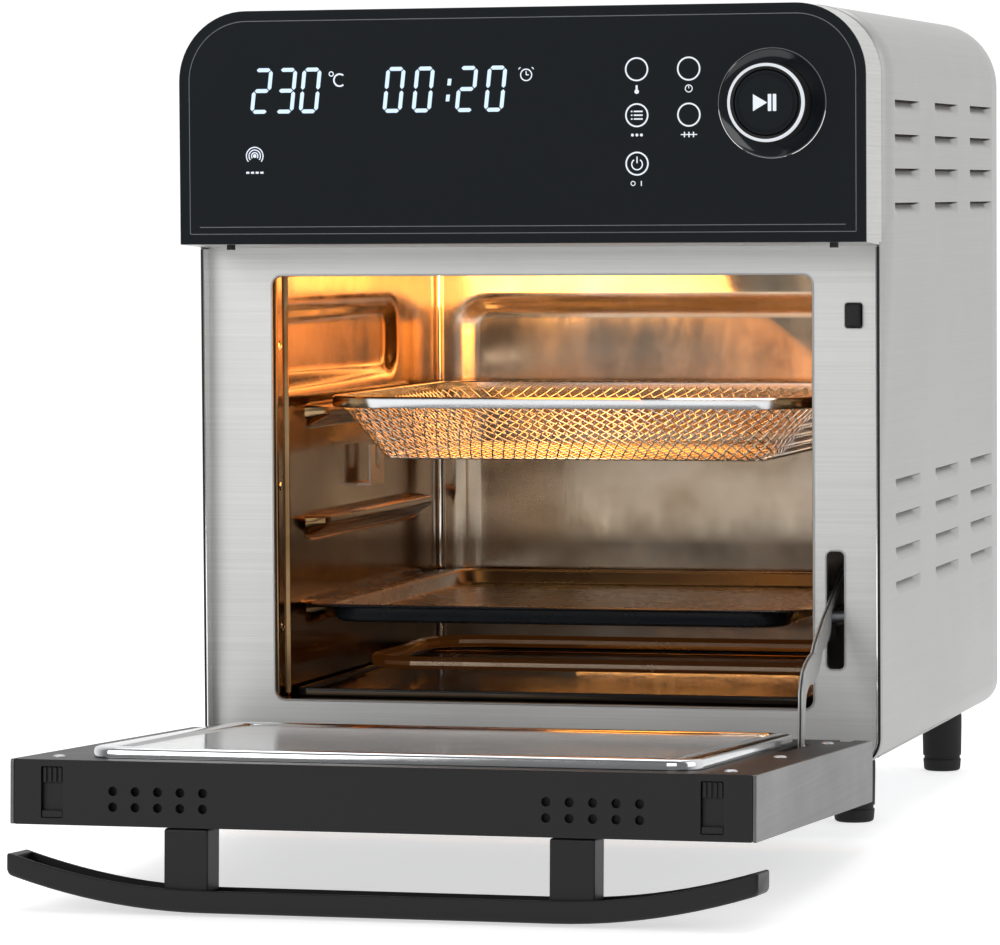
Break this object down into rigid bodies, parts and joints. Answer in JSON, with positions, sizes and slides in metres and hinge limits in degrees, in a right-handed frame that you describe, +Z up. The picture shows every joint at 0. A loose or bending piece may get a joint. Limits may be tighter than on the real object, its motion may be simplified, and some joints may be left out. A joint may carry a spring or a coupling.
{
  "type": "toaster oven",
  "caption": "Counter-top air-fryer toaster oven with a drop-down glass door, a black touch panel with a dial, a wire basket, a baking tray and side louvres.",
  "frame": {"origin": "centre of the flat pressed panel under the base plate, 31.9 mm above the surface the feet stand on", "axes": "+Z up, +X to the right seen from the front, +Y from the front face to the back, so the door opens towards -Y"},
  "size_m": [0.342, 0.6124, 0.4065],
  "materials": {
    "brushed_steel": "horizontally brushed stainless sheet",
    "satin_wrap": "smooth satin silver-grey coated sheet",
    "polished_steel": "bright polished stainless",
    "galvanised": "dull galvanised sheet",
    "black_plastic": "fine-grained satin black moulding",
    "black_glass": "deep gloss black tinted glass with white print",
    "clear_glass": "clear heat-proof glass",
    "black_enamel": "semi-gloss black enamel",
    "rubber": "matte black rubber",
    "circuit_board": "green solder-mask board",
    "heater_steel": "heat-tinted sheathed element",
    "wire_steel": "bright welded stainless wire and mesh"
  },
  "bodies": {
    "oven_body": {"outer_wrap": "satin_wrap", "base_plate": "galvanised", "front_fascia": "brushed_steel", "back_panel": "galvanised", "cord_gland": "black_plastic", "foot_front_left": "rubber", "foot_front_right": "rubber", "foot_rear_left": "rubber", "foot_rear_right": "rubber", "cavity_liner": "polished_steel", "cavity_back": "polished_steel", "bottom_heater": "heater_steel", "top_heater": "heater_steel", "air_guard": "polished_steel", "fan_shroud": "galvanised", "fan_motor": "galvanised", "spit_motor": "black_plastic", "spit_bracket": "brushed_steel", "control_housing": "brushed_steel", "control_bezel": "black_plastic", "control_glass": "black_glass", "control_carrier": "black_plastic", "display_module": "black_plastic", "key_board": "circuit_board", "power_board": "circuit_board", "dial_bezel": "black_plastic", "dial_encoder": "black_plastic", "hinge_bracket_left": "galvanised", "hinge_bracket_right": "galvanised", "stay_guide": "galvanised", "door_switch": "black_plastic", "bumper_left": "rubber", "bumper_right": "rubber"},
    "door": {"door_frame": "black_plastic", "door_top_cap": "black_plastic", "corner_clip_left": "black_plastic", "corner_clip_right": "black_plastic", "door_trim_left": "brushed_steel", "door_trim_right": "brushed_steel", "door_outer_glass": "black_glass", "door_inner_bezel": "polished_steel", "door_inner_glass": "clear_glass", "handle_post_left": "black_plastic", "handle_post_right": "black_plastic", "handle_bar": "black_plastic", "hinge_pin_left": "brushed_steel", "hinge_pin_right": "brushed_steel", "stay_pin": "brushed_steel"},
    "stay": {"stay_arm": "brushed_steel"},
    "dial": {"dial_knob": "black_plastic"},
    "button": {"start_button": "black_plastic"},
    "plunger": {"switch_plunger": "black_plastic"},
    "basket": {"basket_rim": "wire_steel", "basket_mesh": "wire_steel"},
    "tray": {"baking_tray": "black_enamel"},
    "crumbs": {"crumb_tray": "black_enamel"},
    "fan": {"fan_wheel": "galvanised", "motor_shaft": "brushed_steel"},
    "spit": {"spit_socket": "brushed_steel"}
  },
  "joints": [
    {"name": "door_hinge", "type": "hinge", "parent": "oven_body", "child": "door", "pos_m": [0, -0.1912, -0.0045], "axis": [1, 0, 0], "range_deg": [-87.57, 0]},
    {"name": "stay_pivot", "type": "hinge", "parent": "door", "child": "stay", "pos_m": [0.145, -0.23453, 0.01455], "axis": [1, 0, 0], "range_deg": [0, 97.3]},
    {"name": "dial_turn", "type": "hinge", "parent": "oven_body", "child": "dial", "pos_m": [0.1248, -0.1993, 0.3192], "axis": [0, 1, 0], "continuous": true},
    {"name": "start_press", "type": "slide", "parent": "dial", "child": "button", "axis": [0, 1, 0], "range_m": [0, 0.0015], "stiffness_N_per_m": 600, "springref_m": -0.001},
    {"name": "switch_press", "type": "slide", "parent": "oven_body", "child": "plunger", "axis": [0, 1, 0], "range_m": [0, 0.003], "stiffness_N_per_m": 300, "springref_m": -0.002},
    {"name": "basket_slide", "type": "slide", "parent": "oven_body", "child": "basket", "axis": [0, -1, 0], "range_m": [0, 0.18]},
    {"name": "tray_slide", "type": "slide", "parent": "oven_body", "child": "tray", "axis": [0, -1, 0], "range_m": [0, 0.18]},
    {"name": "crumb_slide", "type": "slide", "parent": "oven_body", "child": "crumbs", "axis": [0, -1, 0], "range_m": [0, 0.14]},
    {"name": "fan_spin", "type": "hinge", "parent": "oven_body", "child": "fan", "pos_m": [0, -0.0145, 0.2601], "axis": [0, 0, 1], "continuous": true},
    {"name": "spit_spin", "type": "hinge", "parent": "oven_body", "child": "spit", "pos_m": [0.132, -0.0145, 0.1391], "axis": [1, 0, 0], "continuous": true}
  ],
  "couplings": [
    {"joint": "stay_pivot", "follows": "door_hinge", "ratio": -1.11}
  ]
}
